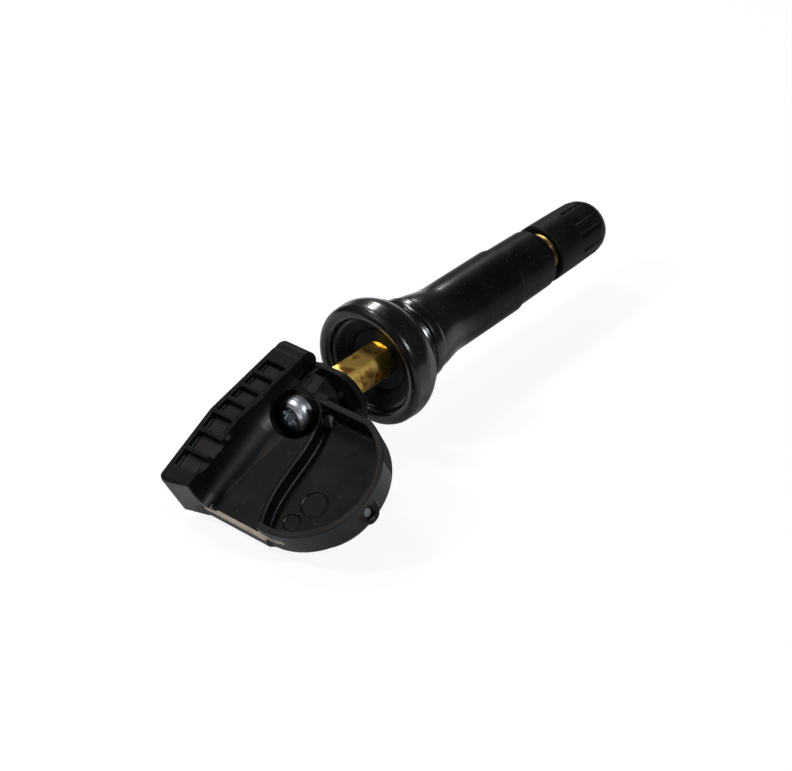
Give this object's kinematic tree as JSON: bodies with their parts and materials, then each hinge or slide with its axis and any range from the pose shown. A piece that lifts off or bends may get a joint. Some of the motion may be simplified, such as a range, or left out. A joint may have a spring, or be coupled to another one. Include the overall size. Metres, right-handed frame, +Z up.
{
  "type": "tyre pressure sensor",
  "caption": "Tyre pressure sensor: a sealed plastic housing with a round battery side and a ribbed strip, screwed at a slope to a snap-in rubber valve with a brass stem and a cap.",
  "frame": {"origin": "on the stem's axis, in the plane where the rubber flange seats against the inside of the rim", "axes": "+X along the stem toward the cap, +Z up as the sensor lies, +Y toward the ribbed strip, so the round battery side is toward -Y"},
  "size_m": [0.0959, 0.032, 0.0224],
  "materials": {
    "housing": "moulded, glossy, with dull floors",
    "cover": "moulded",
    "screw": "bright zinc plate",
    "rubber": "moulded, satin",
    "brass": "turned, a little tarnished",
    "core_brass": "turned",
    "gasket": "moulded",
    "spring_steel": "drawn",
    "cap": "moulded, satin",
    "board": "lacquered",
    "cell_steel": "nickel plated",
    "chip": "moulded",
    "filter": "porous",
    "crystal_can": "plated",
    "ferrite": "sintered",
    "copper": "enamelled wire",
    "ceramic_body": "fired"
  },
  "bodies": {
    "sensor": {"housing": "housing", "base_cover": "cover", "retaining_screw": "screw", "valve_body": "rubber", "valve_stem": "brass", "core_barrel": "core_brass", "core_gasket": "gasket", "core_spring": "spring_steel", "circuit_board": "board", "battery_cell": "cell_steel", "cell_tab_top": "spring_steel", "cell_tab_bottom": "spring_steel", "sensor_chip": "chip", "port_filter": "filter", "crystal": "crystal_can", "coil_core": "ferrite", "coil_winding": "copper", "antenna_strap": "spring_steel", "chip_capacitors": "ceramic_body"},
    "cap_carrier": {"cap_seal": "gasket"},
    "cap": {"valve_cap": "cap"},
    "core_needle": {"core_pin": "core_brass", "core_washer": "gasket"}
  },
  "joints": [
    {"name": "cap_lift", "type": "slide", "parent": "sensor", "child": "cap_carrier", "axis": [1, 0, 0], "range_m": [0, 0.00635]},
    {"name": "cap_turn", "type": "hinge", "parent": "cap_carrier", "child": "cap", "pos_m": [0, 0, 0], "axis": [1, 0, 0], "range_deg": [0, 3240]},
    {"name": "core_push", "type": "slide", "parent": "sensor", "child": "core_needle", "axis": [1, 0, 0], "range_m": [-0.0012, 0], "stiffness_N_per_m": 600, "deforming": ["core_spring"]}
  ],
  "couplings": [
    {"joint": "cap_turn", "follows": "cap_lift", "rad_per_m": 7913.3}
  ]
}
